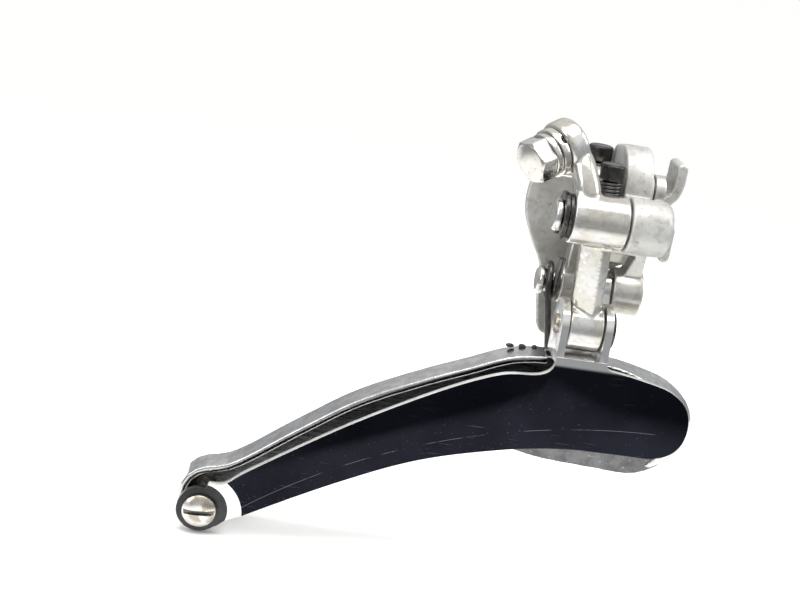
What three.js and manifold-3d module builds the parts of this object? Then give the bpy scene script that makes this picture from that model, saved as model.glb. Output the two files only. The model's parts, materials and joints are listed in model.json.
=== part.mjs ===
// Road-bike front derailleur for a braze-on mount: pressed steel cage, two cast alloy
// arms and a cast alloy body. Millimetres, +X forward, +Y towards the seat tube, +Z up.
import * as THREE from 'three';
import { mergeVertices } from 'three/addons/utils/BufferGeometryUtils.js';
import Module from 'manifold-3d';

const wasm = await Module();
wasm.setup();

// ---------------------------------------------------------------- driving dimensions
// Cage. Y = 0 is the outer face of the outer plate, Z = 0 the lower outer pivot.
const SHEET = 1.5;              // thickness of both pressed cage plates
const CAGE_WIDTH = 10;          // clear width between the two plates
const RIM_WIDTH = 7;            // turned rim of the inner plate, outside measure
const TAIL = { x: -72.6, z: -49.2 };    // centre of the tail screw
const DRAWN_TAIL = { x: -72.6, z: -49.2 };  // the tail that the outlines below are drawn for
const TAIL_PAD_R = 4.8;         // outside of the plate round the tail screw
const TAIL_DISH = { floorR: 5.8, ramp: 3.0, depth: 1.5 };  // the dish that sets the tail back
const NOSE_LEAN = { x: 5.4, z: 4.2 };   // how far the nose bridge leans over the cage width
const TAIL_SCREW_R = 1.6;
const TAIL_HEAD = { r: 3.5, thick: 1.9, slot: 1.0 };    // slotted, slightly domed
const SPACER = { r: TAIL_PAD_R - SHEET, neckR: 2.6 };  // the neck passes through the inner plate
const JOINT_GAP = 0.3;          // clearance between pieces that turn against each other
const SEAT_GAP = 0.05;          // clearance between pieces that rest on each other

// Linkage: both arms have the same pivot spacing, so the cage moves without turning.
const ARM_DROP = 23.2;          // height from a lower pivot to its upper pivot
const ARM_LEAN = 4.5;           // how far inboard the lower pivots sit at the low stop
const LOWER_OUTER = { y: 6, z: 0 };
const INNER_OFFSET = { y: 16, z: 4.4 }; // from the outer pivot to the inner pivot
const PIN_R = 2.5;              // pivot pins
const UPPER_PIN_R = 3.2;        // the stout pin through arm and body
const LOWER_PIN_R = 2.0;        // the thinner pin through the cage bracket
const PIN_FIT = 0.12;           // radial clearance of a pin in its bore

// Outer arm
const UPPER_BARREL = { x0: -8.6, x1: 2.4, r: 5.2 };
const LOWER_BARREL = { x0: -4.1, x1: 2.8, r: 4.9 };
const COLUMN = { width: 6.0, depth: 4.6, x: -2.6, tilt: 0.085 };  // it slopes forward going down
const LEVER_R = 2.6;            // the cable lever, a round bar on top of the upper barrel
const EYE = { x: -11.0, outboard: 6.0, rise: 12.5, r: 5.5, thick: 4.4 };  // from the upper pivot
const BOLT_DIR = new THREE.Vector3(-0.785, -0.481, -0.4).normalize();
const HEEL_GAP = 0.4;           // between the arm's heel and the shelf it turns past

// Cable anchor
const BOLT_R = 2.5;             // M5 thread
const HEX_FLATS = 8;
const HEX_THICK = 3.5;
const ANCHOR_WASHER_R = 4.9;
const ANCHOR_WASHER_T = 1.4;
const ANCHOR_GAP = { eye: 0.4, washer: 0.1 };   // the stack's clearances
const CABLE_R = 0.7;            // the groove that the cable lies in

// Inner arm. Its web is a frame: two legs, a crossbar and a thin floor at the back.
const INNER_LEFT = { x0: -4.2, x1: 2.4, r: 4.3 };
const INNER_RIGHT = { x0: 7.0, x1: 13.4, r: 5.0 };
const INNER_EYE_R = 3.6;
const INNER_EYE_RIGHT = { x0: 10.4, x1: 12.6 };
const INNER_LEG_DEPTH = 4.4;
const CROSSBAR = { top: 11, low: 14.2 };        // below the upper inner pivot
const INNER_FLOOR_T = 1.2;

// Cast body. Heights here are above the upper outer pivot, which every part of it hangs from.
const BODY_BARREL_LENGTH = 8.5;
const BODY_BARREL_R = 5.6;
const BODY_BARREL_ROUND = 1.8;  // rounded end of the barrel
const NECK = { low: -4.2, top: 4.4 };
const LOBE = { x1: 8.3, r: 9 };
const BACK_PLATE = { y0: 27.2, y1: 29.4 };
const SADDLE = { x0: -9, x1: 14, low: -14.2, top: 3.3, land: 32.4, r: 14.3, landWidth: 3.4 };
const HOOK = { x: 11.6, rise: 6.2, r: 6.3, wall: 2.2, tip: 3.2, y0: 20, y1: 28.4 };
const HOOK_START = -0.35 * Math.PI;     // where the hook's arc leaves its root
const TAB = { shift: 0.5, width: 2.3, low: -8.6, top: -2.0, y0: 14.8, y1: 16.8 };
const MOUNT_THREAD_R = 2.6;     // M5 thread, with clearance

// Limit screws and their springs; heights are above the upper outer pivot.
const LIMIT = { x: -0.2, yFront: 9.5, yRear: 24.6, headR: 2.6, headT: 3.2, shankR: 1.5 };
const LIMIT_TOP = { front: 10.2, rear: 11.3 };
const LIMIT_DEPTH = { front: 8.8, rear: 8.8 };  // length of the shanks
const SHELF = { top: 3.4, thick: 3.8, half: 2.8 };
const SCREW_SPRING = { wire: 0.4, turns: 3 };

// Return spring
const WIRE_R = 0.72;
const COIL_R = 3.75;
const COIL_TURNS = 1;

const SEG = 28;                 // facets of round pieces
const FINE = 48;                // facets of large rounds
const THROUGH = 30;             // longer than any bore

// ---------------------------------------------------------------- derived places
const INNER_FACE = SHEET + CAGE_WIDTH;          // near side of the inner plate
const CAGE_BACK = INNER_FACE + SHEET;           // far side of the inner plate
const RIM_FRONT = CAGE_BACK - RIM_WIDTH;
const UPPER_OUTER = { y: LOWER_OUTER.y - ARM_LEAN, z: LOWER_OUTER.z + ARM_DROP };
const LOWER_INNER = { y: LOWER_OUTER.y + INNER_OFFSET.y, z: LOWER_OUTER.z + INNER_OFFSET.z };
const UPPER_INNER = { y: UPPER_OUTER.y + INNER_OFFSET.y, z: UPPER_OUTER.z + INNER_OFFSET.z };
const ARM_ANGLE = Math.atan2(ARM_LEAN, ARM_DROP);
const BRACKET = { x0: LOWER_BARREL.x0 - JOINT_GAP - SHEET, x1: LOWER_BARREL.x1 + JOINT_GAP + SHEET };
const WEB_Z = LOWER_OUTER.z - LOWER_BARREL.r - 0.4 - SHEET;   // underside of the bracket floor
const BODY_BARREL = { x0: UPPER_BARREL.x1 + JOINT_GAP, x1: UPPER_BARREL.x1 + JOINT_GAP + BODY_BARREL_LENGTH };
const BODY_RIGHT = Math.max(INNER_EYE_RIGHT.x1, INNER_RIGHT.x1) + JOINT_GAP;
const SHELF_LEFT = LIMIT.x - SHELF.half;
const SADDLE_MIDDLE = (SADDLE.x0 + SADDLE.x1) / 2;
const SADDLE_MOUTH = (SADDLE.x1 - SADDLE.x0) / 2 - SADDLE.landWidth;
const SADDLE_CENTRE = SADDLE.land + Math.sqrt(SADDLE.r ** 2 - SADDLE_MOUTH ** 2);
const SADDLE_FLOOR = SADDLE_CENTRE - SADDLE.r;
const COIL_PITCH = 2 * WIRE_R + 0.12;
const SPRING_X0 = INNER_LEFT.x0 - JOINT_GAP - WIRE_R - COIL_TURNS * COIL_PITCH;
const MOUNT = { x: SADDLE.x0 + 2, y: SADDLE.land, z: UPPER_OUTER.z + (SADDLE.low + SADDLE.top) / 2 };
const EYE_CENTRE = new THREE.Vector3(EYE.x, UPPER_OUTER.y + EYE.outboard, UPPER_OUTER.z + EYE.rise);

// ---------------------------------------------------------------- materials
const finish = (color, roughness, metalness = 1) =>
  new THREE.MeshStandardMaterial({ color, roughness, metalness });
const mirrorSteel = finish(0xc9ccd2, 0.06);
const polishedAlloy = finish(0xd4d5d6, 0.18);
const castAlloy = finish(0xc3c4c2, 0.45);
const brightSteel = finish(0xb9b8b2, 0.22);
const blackSteel = finish(0x1c1c1e, 0.35);
const nickel = finish(0xb5ac9a, 0.28);

// ---------------------------------------------------------------- solid helpers
function solid(geometry) {
  const g = geometry.clone();
  for (const key of Object.keys(g.attributes)) {
    if (key !== 'position') g.deleteAttribute(key);
  }
  const merged = mergeVertices(g, 1e-5);
  return new wasm.Manifold(new wasm.Mesh({
    numProp: 3,
    vertProperties: new Float32Array(merged.attributes.position.array),
    triVerts: new Uint32Array(merged.index.array),
  }));
}

function node(name, body, material) {
  const mesh = body.getMesh();
  const geometry = new THREE.BufferGeometry();
  geometry.setAttribute('position', new THREE.BufferAttribute(mesh.vertProperties, 3));
  geometry.setIndex(new THREE.BufferAttribute(mesh.triVerts, 1));
  geometry.computeVertexNormals();
  const result = new THREE.Mesh(geometry, material);
  result.name = name;
  return result;
}

const join = (first, ...rest) => rest.reduce((sum, next) => sum.add(next), first);
const cut = (first, ...rest) => rest.reduce((sum, next) => sum.subtract(next), first);

const outline = (points) => new THREE.Shape(points.map(([u, v]) => new THREE.Vector2(u, v)));

function slab(shape, depth, curveSegments = 10) {
  return new THREE.ExtrudeGeometry(shape, { depth, bevelEnabled: false, curveSegments });
}

// A shape drawn in X-Z, with thickness from y0 to y1.
function plateXZ(shape, y0, y1, curveSegments) {
  return solid(slab(shape, y1 - y0, curveSegments).rotateX(Math.PI / 2).translate(0, y1, 0));
}

// A shape drawn in Y-Z, with thickness from x0 to x1.
function plateYZ(shape, x0, x1, curveSegments) {
  const turn = new THREE.Matrix4().makeBasis(
    new THREE.Vector3(0, 1, 0), new THREE.Vector3(0, 0, 1), new THREE.Vector3(1, 0, 0));
  return solid(slab(shape, x1 - x0, curveSegments).applyMatrix4(turn).translate(x0, 0, 0));
}

// A shape drawn in X-Y, with thickness from z0 to z1.
function plateXY(shape, z0, z1, curveSegments) {
  return solid(slab(shape, z1 - z0, curveSegments).translate(0, 0, z0));
}

function block(x0, x1, y0, y1, z0, z1) {
  const box = new THREE.BoxGeometry(x1 - x0, y1 - y0, z1 - z0);
  return solid(box.translate((x0 + x1) / 2, (y0 + y1) / 2, (z0 + z1) / 2));
}

// A turned piece: profile of [radius, distance along the axis], from start along direction.
function turned(profile, start, direction, segments = SEG) {
  const points = profile.map(([r, s]) => new THREE.Vector2(r, s));
  const lathe = new THREE.LatheGeometry(points, segments);
  const turn = new THREE.Quaternion().setFromUnitVectors(new THREE.Vector3(0, 1, 0), direction);
  return solid(lathe.applyQuaternion(turn).translate(start.x, start.y, start.z));
}

const ALONG_X = new THREE.Vector3(1, 0, 0);
const ALONG_Y = new THREE.Vector3(0, 1, 0);
const DOWN = new THREE.Vector3(0, 0, -1);

function rodX(x0, x1, pivot, r, segments) {
  const profile = [[0, 0], [r, 0], [r, x1 - x0], [0, x1 - x0]];
  return turned(profile, new THREE.Vector3(x0, pivot.y, pivot.z), ALONG_X, segments);
}

function ring(inner, outer, thick, start, direction, segments) {
  const profile = [[inner, 0], [outer, 0], [outer, thick], [inner, thick], [inner, 0]];
  return turned(profile, start, direction, segments);
}

// A drill of one radius, reaching both ways from a point.
function drill(r, centre, direction, segments) {
  const profile = [[0, -THROUGH], [r, -THROUGH], [r, THROUGH], [0, THROUGH]];
  return turned(profile, centre, direction, segments);
}

const boreX = (pivot, r) => rodX(-THROUGH, THROUGH, pivot, r);

function wire(points, radius, steps, sides = 8) {
  const section = new THREE.Shape();
  section.absarc(0, 0, radius, 0, Math.PI * 2, false);
  const path = new THREE.CatmullRomCurve3(points, false, 'centripetal');
  return solid(new THREE.ExtrudeGeometry(section, {
    steps, extrudePath: path, bevelEnabled: false, curveSegments: sides }));
}

const vec = (x, y, z) => new THREE.Vector3(x, y, z);
const flat = (points) => points.map(([u, v]) => new THREE.Vector2(u, v));

// Behind the bracket, the cage's outlines stretch and tip with the tail.
function placed([x, z]) {
  const share = Math.min(x / DRAWN_TAIL.x, 1);
  if (share <= 0) return [x, z];
  return [x + share * (TAIL.x - DRAWN_TAIL.x), z + share * (TAIL.z - DRAWN_TAIL.z)];
}

// ---------------------------------------------------------------- cage
function outerPlateShape() {
  const shape = new THREE.Shape();
  const back = [[-16.8, -10.8], [-28.1, -16], [-44.9, -25.8], [-63, -38.2], [-68.5, -42.6]];
  const low = [[-63.3, -48.5], [-45.1, -38.4], [-29.7, -31.3], [-13.8, -26.8], [-2, -24.8], [8, -24.4],
    [16, -24.4]];
  const padTop = [TAIL.x + 1.2, TAIL.z + TAIL_PAD_R + 1.1];
  shape.moveTo(BRACKET.x0, WEB_Z);
  shape.quadraticCurveTo(BRACKET.x0 - 0.3, WEB_Z - 2.6, ...placed([-10.4, -9.8]));
  shape.splineThru(flat([...back.map(placed), padTop]));
  shape.absarc(TAIL.x, TAIL.z, TAIL_PAD_R, Math.PI * 0.45, Math.PI * 1.74, false);
  shape.lineTo(TAIL.x + 4, TAIL.z - 3.1);
  shape.splineThru(flat(low.map(placed)));
  shape.bezierCurveTo(21.2, -24.2, 23.8, -21.6, 23.8, -17);
  shape.bezierCurveTo(23.8, -12.4, 20.6, -9.6, 16, -8.6);
  shape.quadraticCurveTo(10, -7.3, BRACKET.x1 + 1.6, WEB_Z - 0.1);
  shape.quadraticCurveTo(BRACKET.x1, WEB_Z + 0.2, BRACKET.x1, WEB_Z + 1.2);
  shape.lineTo(BRACKET.x0, WEB_Z + 1.2);
  return shape;
}

function outerPlate() {
  // A round dish, floor behind the face and a sloping wall round it, takes the tail screw.
  const { floorR, ramp, depth } = TAIL_DISH;
  const rim = floorR + ramp;
  const lip = rim + 1;
  const bend = 0.5;             // the wall's back starts further out than its front
  const seat = vec(TAIL.x, 0, TAIL.z);
  const shape = outerPlateShape();
  const dish = turned([[0, depth], [floorR, depth], [rim, 0], [lip, 0], [lip, SHEET],
    [rim + bend, SHEET], [floorR + bend, depth + SHEET], [0, depth + SHEET]], seat, ALONG_Y, FINE);
  const face = plateXZ(shape, 0, SHEET, 12).subtract(drill(lip - 0.3, seat, ALONG_Y, FINE));
  const tail = plateXZ(shape, -1, SHEET + depth + 1, 12).intersect(dish);
  return join(face, tail, bracketFloor(), bracketEar(BRACKET.x0), bracketEar(BRACKET.x1 - SHEET))
    .subtract(boreX(LOWER_OUTER, LOWER_PIN_R + PIN_FIT / 2))
    .subtract(drill(TAIL_SCREW_R + 0.6, seat, ALONG_Y));
}

function bracketFloor() {
  return block(BRACKET.x0, BRACKET.x1, 0, LOWER_OUTER.y + LOWER_BARREL.r, WEB_Z, WEB_Z + SHEET);
}

function bracketEar(x0) {
  const r = LOWER_BARREL.r + 0.4;
  const shape = new THREE.Shape();
  shape.moveTo(0.2, WEB_Z);
  shape.lineTo(LOWER_OUTER.y - r, LOWER_OUTER.z);
  shape.absarc(LOWER_OUTER.y, LOWER_OUTER.z, r, Math.PI, 0, true);
  shape.lineTo(LOWER_OUTER.y + LOWER_BARREL.r, WEB_Z);
  return plateYZ(shape, x0, x0 + SHEET, 14);
}

function innerPlatePoints(inset) {
  const top = [[-68.2, -40.4], [-54.8, -30.6], [-43.9, -22.8], [-31.5, -16.4], [-22, -12.2],
    [-13, -8.4], [-4.2, -7.4], [8, -7.7], [15, -9], [20.8, -10.8]];
  const nose = [[26.4, -15.2], [28.5, -20.2], [27.6, -25.4], [24.2, -30], [18.5, -32.9]];
  const low = [[9, -32.6], [-3, -31.9], [-16, -30], [-32, -33.6], [-48, -41], [-62, -49.3]];
  const tail = [[-71, -53.4], [-75.6, -52.6], [-77.6, -49], [-76.6, -44.6], [-73.8, -42]];
  const points = [...top, ...nose, ...low, ...tail].map(placed).map(([x, z]) => vec(x, 0, z));
  const curve = new THREE.CatmullRomCurve3(points, true, 'centripetal');
  const count = 110;
  const result = [];
  for (let i = 0; i < count; i += 1) {
    const p = curve.getPointAt(i / count);
    const t = curve.getTangentAt(i / count);
    // The contour runs clockwise in X-Z, so this normal points into the plate.
    result.push([p.x + t.z * inset, p.z - t.x * inset]);
  }
  return result;
}

// The bridge at the nose leans: its front edge sits further back and higher than the plate's
// own nose, so that it meets the smaller nose of the outer plate.
function leanNose(shape, y0, y1) {
  const geometry = slab(shape, y1 - y0).rotateX(Math.PI / 2).translate(0, y1, 0);
  const position = geometry.attributes.position;
  for (let i = 0; i < position.count; i += 1) {
    const depth = (CAGE_BACK - position.getY(i)) / (CAGE_BACK - SHEET);
    const forward = THREE.MathUtils.smoothstep(position.getX(i), 8, 25);
    const low = THREE.MathUtils.smoothstep(-position.getZ(i), 11, 27);
    position.setX(i, position.getX(i) - NOSE_LEAN.x * depth * forward);
    position.setZ(i, position.getZ(i) + NOSE_LEAN.z * depth * forward * low);
  }
  return solid(geometry);
}

function innerPlate() {
  const outer = outline(innerPlatePoints(0));
  const inner = outline(innerPlatePoints(SHEET));
  const noseFront = SHEET + 0.1;
  const shell = cut(leanNose(outer, noseFront, CAGE_BACK), leanNose(inner, -2, INNER_FACE));
  // The rim is narrow over the cage and widens at the nose into the bridge between the plates.
  const behind = TAIL.x - 18;
  const frontEdge = outline([[behind, noseFront - 2], [24.5, noseFront - 2], [22, noseFront + 0.4],
    [17, RIM_FRONT - 1.6], [9, RIM_FRONT - 0.2], [5, RIM_FRONT], [behind, RIM_FRONT]]);
  // Nothing is turned along the lower edge between the tail and the front bulge.
  const under = [[-48, -37], [-30, -29.6], [-12, -26.4], [0, -26.2], [16, -27.2], [25, -30.5]];
  const lowerEdge = new THREE.Shape();
  lowerEdge.moveTo(behind, TAIL.z - 11);
  lowerEdge.lineTo(behind, TAIL.z);
  lowerEdge.lineTo(TAIL.x + 4.6, TAIL.z);
  lowerEdge.splineThru(flat(under.map(placed)));
  lowerEdge.lineTo(26, TAIL.z - 11);
  const notch = block(BRACKET.x0 - JOINT_GAP, BRACKET.x1 + JOINT_GAP, -1,
    LOWER_OUTER.y + LOWER_BARREL.r + JOINT_GAP, -14, 4);
  return cut(shell, plateXY(frontEdge, TAIL.z - 21, 10), plateXZ(lowerEdge, -2, INNER_FACE), notch)
    .subtract(drill(SPACER.neckR + 0.1, vec(TAIL.x, 0, TAIL.z), ALONG_Y));
}

// Pressed bracket brazed to the back of the inner plate; its lug carries the inner arm.
const REAR_LUG = { x0: INNER_LEFT.x1 + JOINT_GAP, x1: INNER_RIGHT.x0 - JOINT_GAP };

function rearBracket() {
  const back = CAGE_BACK + SEAT_GAP;
  const foot = block(REAR_LUG.x0 - 4, REAR_LUG.x1 + 4, back, CAGE_BACK + SHEET, -20, -9.5);
  const lug = new THREE.Shape();
  const r = INNER_LEFT.r - 0.2;
  lug.moveTo(back, -18);
  lug.lineTo(back, -9);
  lug.lineTo(LOWER_INNER.y - r, LOWER_INNER.z);
  lug.absarc(LOWER_INNER.y, LOWER_INNER.z, r, Math.PI, 0, true);
  lug.lineTo(CAGE_BACK + 4, -14);
  return join(foot, plateYZ(lug, REAR_LUG.x0, REAR_LUG.x1, 12))
    .subtract(boreX(LOWER_INNER, PIN_R + PIN_FIT));
}

function tailSpacer() {
  const y0 = SHEET + TAIL_DISH.depth + SEAT_GAP;
  const length = INNER_FACE - SEAT_GAP - y0;
  const bore = TAIL_SCREW_R + 0.1;
  const profile = [[bore, 0], [SPACER.r - 0.4, 0], [SPACER.r - 0.4, 1.6], [SPACER.r, 1.6], [SPACER.r, length],
    [SPACER.neckR, length], [SPACER.neckR, length + SHEET + 0.6], [bore, length + SHEET + 0.6], [bore, 0]];
  return turned(profile, vec(TAIL.x, y0, TAIL.z), ALONG_Y);
}

function tailScrew() {
  const { r, thick, slot } = TAIL_HEAD;
  const top = TAIL_DISH.depth - SEAT_GAP - thick;
  const stem = thick + CAGE_WIDTH - 1;
  const profile = [[0, 0], [r * 0.47, 0.12], [r * 0.8, 0.5], [r, 1.1], [r, thick], [TAIL_SCREW_R, thick],
    [TAIL_SCREW_R, stem], [0, stem]];
  const body = turned(profile, vec(TAIL.x, top, TAIL.z), ALONG_Y, FINE);
  const cutter = new THREE.BoxGeometry(3 * r, 1.6, slot).rotateY(-0.05);
  return body.subtract(solid(cutter.translate(TAIL.x, top, TAIL.z)));
}

// ---------------------------------------------------------------- outer arm
function armFrame(pivot) {
  // Turns a piece drawn straight down from a pivot to the lean that the arms have at rest.
  return new THREE.Matrix4().makeTranslation(0, pivot.y, pivot.z)
    .multiply(new THREE.Matrix4().makeRotationX(ARM_ANGLE));
}

const ARM_LENGTH = Math.hypot(ARM_DROP, ARM_LEAN);

function outerArm() {
  const { width, depth, x, tilt } = COLUMN;
  const half = width / 2;
  const ridge = outline([[-half, depth / 2], [-half, -depth / 2 + 1.6], [-half + 0.8, -depth / 2 + 0.9],
    [half * 0.3, -depth / 2 - 0.6], [half, -depth / 2 + 0.9], [half, depth / 2]]);
  const column = slab(ridge, ARM_LENGTH).translate(0, 0, -ARM_LENGTH).rotateY(-tilt)
    .translate(x, 0, 0).applyMatrix4(armFrame(UPPER_OUTER));
  const heel = block(UPPER_BARREL.x0 + 1.5, SHELF_LEFT - HEEL_GAP, UPPER_OUTER.y - 1,
    UPPER_OUTER.y + UPPER_BARREL.r + 0.2, UPPER_OUTER.z - 4.6, UPPER_OUTER.z + 3);
  return join(rodX(UPPER_BARREL.x0, UPPER_BARREL.x1, UPPER_OUTER, UPPER_BARREL.r, FINE),
    rodX(LOWER_BARREL.x0, LOWER_BARREL.x1, LOWER_OUTER, LOWER_BARREL.r, FINE),
    solid(column), cableLever(), leverEye(), heel)
    .subtract(boreX(UPPER_OUTER, UPPER_PIN_R + PIN_FIT))
    .subtract(boreX(LOWER_OUTER, LOWER_PIN_R + PIN_FIT))
    .subtract(turned([[0, -7], [BOLT_R + 0.15, -7], [BOLT_R + 0.15, 7], [0, 7]], EYE_CENTRE, BOLT_DIR));
}

function cableLever() {
  const root = vec(-5.4, UPPER_OUTER.y, UPPER_OUTER.z);
  return wire([root.clone().add(vec(0, 0, 2)), root.clone().add(vec(-0.5, 0.3, 5)),
    root.clone().add(vec(-2.1, 2.8, 9.7)), EYE_CENTRE.clone().add(vec(1.9, 0.8, -0.3))], LEVER_R, 14, 12);
}

function leverEye() {
  const round = 0.6;
  const back = EYE_CENTRE.clone().addScaledVector(BOLT_DIR, -EYE.thick / 2);
  return turned([[0, 0], [EYE.r - round, 0], [EYE.r, round], [EYE.r, EYE.thick - round],
    [EYE.r - round, EYE.thick], [0, EYE.thick]], back, BOLT_DIR, FINE);
}

// ---------------------------------------------------------------- cable anchor
const EYE_FACE = EYE_CENTRE.clone().addScaledVector(BOLT_DIR, EYE.thick / 2);

function anchorWasher(level) {
  const start = EYE_FACE.clone()
    .addScaledVector(BOLT_DIR, ANCHOR_GAP.eye + level * (ANCHOR_WASHER_T + ANCHOR_GAP.washer));
  return ring(BOLT_R + 0.15, ANCHOR_WASHER_R - level * 0.4, ANCHOR_WASHER_T, start, BOLT_DIR, FINE);
}

function groovedWasher() {
  // The inner washer has a groove across its face for the cable.
  const tangent = vec(0, 0, 1).cross(BOLT_DIR).normalize();
  const upward = BOLT_DIR.clone().cross(tangent).normalize();
  const across = EYE_FACE.clone().addScaledVector(BOLT_DIR, ANCHOR_GAP.eye)
    .addScaledVector(tangent, BOLT_R + 0.9);
  return anchorWasher(0).subtract(drill(CABLE_R, across, upward, 12));
}

function anchorBolt() {
  const seat = ANCHOR_GAP.eye + 2 * (ANCHOR_WASHER_T + ANCHOR_GAP.washer);
  const start = EYE_FACE.clone().addScaledVector(BOLT_DIR, seat);
  const acrossCorners = HEX_FLATS / Math.sqrt(3);
  const head = turned([[0, 0], [acrossCorners, 0], [acrossCorners, HEX_THICK], [0, HEX_THICK]],
    start, BOLT_DIR, 6);
  const chamfer = turned([[0, 0], [acrossCorners, 0], [acrossCorners, HEX_THICK - 0.5],
    [HEX_FLATS / 2 - 0.1, HEX_THICK], [0, HEX_THICK]], start, BOLT_DIR, SEG);
  const shank = EYE.thick + seat + 0.6;
  const stem = turned([[0, 1 - shank], [BOLT_R, 1 - shank], [BOLT_R, 1], [0, 1]], start, BOLT_DIR);
  return join(head.intersect(chamfer), stem);
}

// ---------------------------------------------------------------- inner arm
function innerArm() {
  const frame = new THREE.Shape();
  frame.moveTo(INNER_LEFT.x0 + 0.6, 0);
  frame.lineTo(INNER_LEFT.x0 + 0.6, -ARM_LENGTH);
  frame.lineTo(INNER_LEFT.x1, -ARM_LENGTH);
  frame.lineTo(INNER_LEFT.x1, -CROSSBAR.low);
  frame.lineTo(INNER_EYE_RIGHT.x0 - 0.2, -CROSSBAR.low);
  frame.lineTo(INNER_RIGHT.x0 + 0.4, -ARM_LENGTH);
  frame.lineTo(INNER_RIGHT.x1 - 0.6, -ARM_LENGTH);
  frame.lineTo(INNER_EYE_RIGHT.x1, 4 - ARM_LENGTH);
  frame.lineTo(INNER_EYE_RIGHT.x1, 0);
  frame.lineTo(INNER_EYE_RIGHT.x0, 0);
  frame.lineTo(INNER_EYE_RIGHT.x0, -CROSSBAR.top);
  frame.lineTo(INNER_LEFT.x1, -CROSSBAR.top);
  frame.lineTo(INNER_LEFT.x1, 0);
  const half = INNER_LEG_DEPTH / 2;
  const inArm = (shape, y0, y1) =>
    solid(slab(shape, y1 - y0).rotateX(Math.PI / 2).translate(0, y1, 0).applyMatrix4(armFrame(UPPER_INNER)));
  const floorLow = INNER_LEFT.r + 1.4 - ARM_LENGTH;
  const floor = outline([[INNER_LEFT.x1 - 1, -CROSSBAR.top - 1], [INNER_LEFT.x1 - 1, floorLow],
    [INNER_EYE_RIGHT.x1 - 1, floorLow], [INNER_EYE_RIGHT.x1 - 1, -CROSSBAR.top - 1]]);
  return join(inArm(frame, -half, half), inArm(floor, half - INNER_FLOOR_T, half - 0.1),
    rodX(INNER_LEFT.x0, INNER_LEFT.x1, UPPER_INNER, INNER_EYE_R),
    rodX(INNER_EYE_RIGHT.x0, INNER_EYE_RIGHT.x1, UPPER_INNER, INNER_EYE_R),
    rodX(INNER_LEFT.x0, INNER_LEFT.x1, LOWER_INNER, INNER_LEFT.r, FINE),
    rodX(INNER_RIGHT.x0, INNER_RIGHT.x1, LOWER_INNER, INNER_RIGHT.r, FINE))
    .subtract(boreX(UPPER_INNER, PIN_R + PIN_FIT))
    .subtract(boreX(LOWER_INNER, PIN_R + PIN_FIT));
}

function returnSpring() {
  // One leg stands behind the inner plate, the coil goes round the pin, the other leg goes up.
  const foot = vec(SPRING_X0 + 2.1, CAGE_BACK + WIRE_R + JOINT_GAP, LOWER_INNER.z - 15.9);
  const points = [foot, foot.clone().add(vec(-0.4, 0.2, 3))];
  const perTurn = 10;
  const count = Math.round(COIL_TURNS * perTurn);
  for (let i = 0; i <= count; i += 1) {
    const angle = Math.PI - i / perTurn * Math.PI * 2;
    points.push(vec(SPRING_X0 + i / perTurn * COIL_PITCH, LOWER_INNER.y + COIL_R * Math.cos(angle),
      LOWER_INNER.z + COIL_R * Math.sin(angle)));
  }
  const last = points[points.length - 1];
  points.push(last.clone().add(vec(0, -0.4, 3.2)), last.clone().add(vec(0.1, -1.2, 6.4)));
  return wire(points, WIRE_R, count * 2 + 18, 6);
}

// ---------------------------------------------------------------- pins, clips and screws
function pivotPin(pivot, x0, x1, r, head) {
  const length = x1 - x0;
  return turned([[0, 0], [head.r * 0.75, 0], [head.r, 0.5], [head.r, head.thick], [r, head.thick],
    [r, length - 0.4], [r - 0.4, length], [0, length]], vec(x0, pivot.y, pivot.z), ALONG_X, FINE);
}

function clippedPin(pivot, x0, x1, r) {
  // Grooved at the left end for an E-clip.
  const groove = { s: UPPER_BARREL.x0 - 1.9 - x0, w: 0.9 };
  const length = x1 - x0;
  return turned([[0, 0], [r - 0.5, 0], [r, 0.5], [r, groove.s], [r - 0.5, groove.s],
    [r - 0.5, groove.s + groove.w], [r, groove.s + groove.w], [r, length], [0, length]],
    vec(x0, pivot.y, pivot.z), ALONG_X, FINE);
}

function eClip(pivot, x0, innerR, outerR, thick) {
  const clip = ring(innerR, outerR, thick, vec(x0, pivot.y, pivot.z), ALONG_X, FINE);
  const mouth = block(x0 - 1, x0 + thick + 1, pivot.y - innerR * 0.8, pivot.y + innerR * 0.8,
    pivot.z - outerR - 1, pivot.z);
  return clip.subtract(mouth);
}

function limitScrew(y, top, depth) {
  const { x, headR, headT, shankR } = LIMIT;
  const round = 0.3;
  const z = UPPER_OUTER.z + top;
  const body = turned([[0, 0], [headR - round, 0], [headR, round], [headR, headT], [shankR, headT],
    [shankR, headT + depth], [0, headT + depth]], vec(x, y, z), DOWN, 24);
  const slot = { half: 0.35, depth: 1.0 };
  const across = headR + 1;
  return body.subtract(block(x - across, x + across, y - slot.half, y + slot.half, z - slot.depth, z + 1));
}

function limitSpring(y, top) {
  const { wire: r, turns } = SCREW_SPRING;
  const low = UPPER_OUTER.z + SHELF.top + SEAT_GAP;
  const high = UPPER_OUTER.z + top - LIMIT.headT - SEAT_GAP;
  const perTurn = 12;
  const steps = turns * perTurn;
  const coil = LIMIT.shankR + r + 0.15;
  const points = [];
  for (let i = 0; i <= steps; i += 1) {
    const angle = i / perTurn * Math.PI * 2;
    points.push(vec(LIMIT.x + coil * Math.cos(angle), y + coil * Math.sin(angle),
      low + r + (high - low - 2 * r) * i / steps));
  }
  return wire(points, r, steps, 4);
}

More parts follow.
